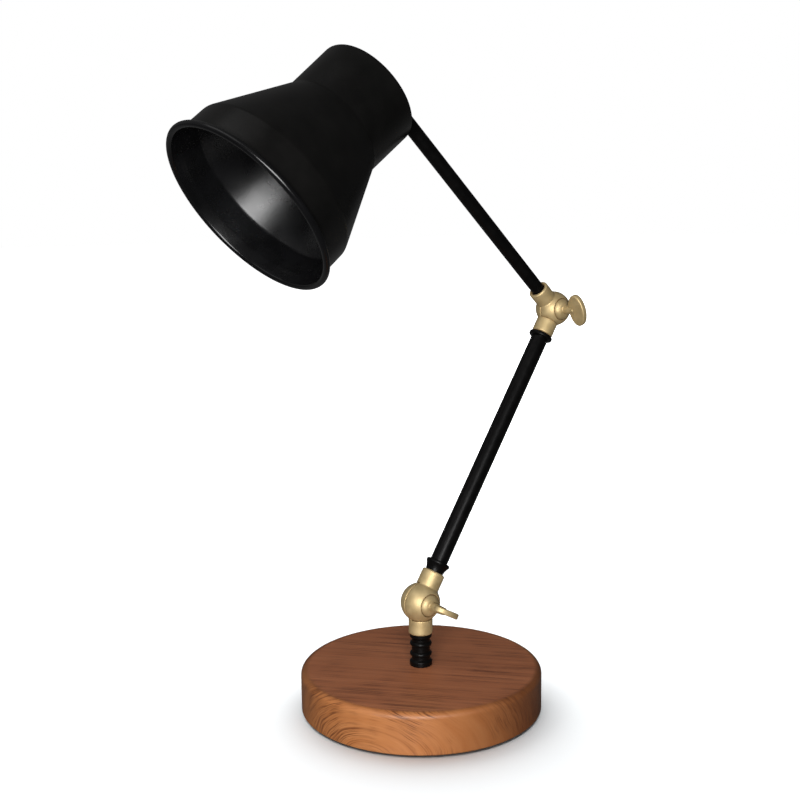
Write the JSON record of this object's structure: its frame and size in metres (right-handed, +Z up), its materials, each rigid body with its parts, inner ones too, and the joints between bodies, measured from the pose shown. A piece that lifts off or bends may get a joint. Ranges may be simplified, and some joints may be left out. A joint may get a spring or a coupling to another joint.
{
  "type": "jointed table lamp",
  "caption": "Jointed table lamp with a round wooden base, brass wing-screw knuckles, two black tube arms and a black bell shade with a rolled rim.",
  "frame": {"origin": "centre of the underside of the foot pad, on the table", "axes": "+Z up; the arms move in the XZ plane, with the elbow towards +X and the shade towards -X; the wing screws point towards -Y and the cord inlet towards +X"},
  "size_m": [0.3201, 0.175, 0.4639],
  "materials": {
    "stained_wood": "satin",
    "dark_felt": "matte",
    "cast_iron": "matte",
    "zinc_steel": "satin",
    "black_enamel": "satin",
    "black_shade_enamel": "satin",
    "satin_brass": "satin",
    "red_fibre": "matte",
    "black_rubber": "matte",
    "black_bakelite": "satin",
    "white_ceramic": "satin",
    "nickel_steel": "polished",
    "white_plastic": "gloss",
    "opal_plastic": "satin"
  },
  "bodies": {
    "base": {"foot_pad": "dark_felt", "base_disc": "stained_wood", "cord_grommet": "black_rubber", "ballast_plate": "cast_iron", "base_washer": "zinc_steel", "base_nut": "zinc_steel", "base_threaded_pipe": "zinc_steel", "stem_sleeve": "black_enamel", "lower_knuckle_back_half": "satin_brass", "lower_friction_washer": "red_fibre"},
    "lower_wing": {"lower_wing_screw": "satin_brass"},
    "lower_arm": {"lower_knuckle_front_half": "satin_brass", "lower_arm_bottom_ferrule": "black_enamel", "lower_arm_bottom_threaded_pipe": "zinc_steel", "lower_arm_tube": "black_enamel", "lower_arm_top_threaded_pipe": "zinc_steel", "lower_arm_top_ferrule": "black_enamel", "elbow_knuckle_back_half": "satin_brass", "elbow_friction_washer": "red_fibre"},
    "elbow_wing": {"elbow_wing_screw": "satin_brass"},
    "upper_arm": {"elbow_knuckle_front_half": "satin_brass", "upper_arm_tube": "black_enamel", "head_swivel_tongue": "black_enamel"},
    "head": {"head_swivel_fork": "black_enamel", "head_pivot_screw": "black_enamel", "head_pivot_nut": "black_enamel", "shade": "black_shade_enamel", "shade_washer": "zinc_steel", "lampholder_cap": "black_bakelite", "lampholder_insert": "white_ceramic", "lampholder_centre_contact": "satin_brass", "lampholder_screw_shell": "satin_brass", "lampholder_sleeve": "black_bakelite", "bulb_screw_cap": "nickel_steel", "bulb_collar": "white_plastic", "bulb_globe": "opal_plastic"}
  },
  "joints": [
    {"name": "lower_knuckle", "type": "hinge", "parent": "base", "child": "lower_arm", "pos_m": [0, 0, 0.078], "axis": [0, 1, 0], "range_deg": [-72.57, 27.43]},
    {"name": "lower_wing_turn", "type": "hinge", "parent": "base", "child": "lower_wing", "pos_m": [0, 0, 0.078], "axis": [0, -1, 0], "range_deg": [0, 180]},
    {"name": "elbow", "type": "hinge", "parent": "lower_arm", "child": "upper_arm", "pos_m": [0.13125, 0, 0.28346], "axis": [0, -1, 0], "range_deg": [-78.57, 21.43]},
    {"name": "elbow_wing_turn", "type": "hinge", "parent": "lower_arm", "child": "elbow_wing", "pos_m": [0.13125, 0, 0.28346], "axis": [0, -1, 0], "range_deg": [0, 180]},
    {"name": "head_tilt", "type": "hinge", "parent": "upper_arm", "child": "head", "pos_m": [-0.03212, 0, 0.44122], "axis": [0, 1, 0], "range_deg": [-10, 75]}
  ]
}
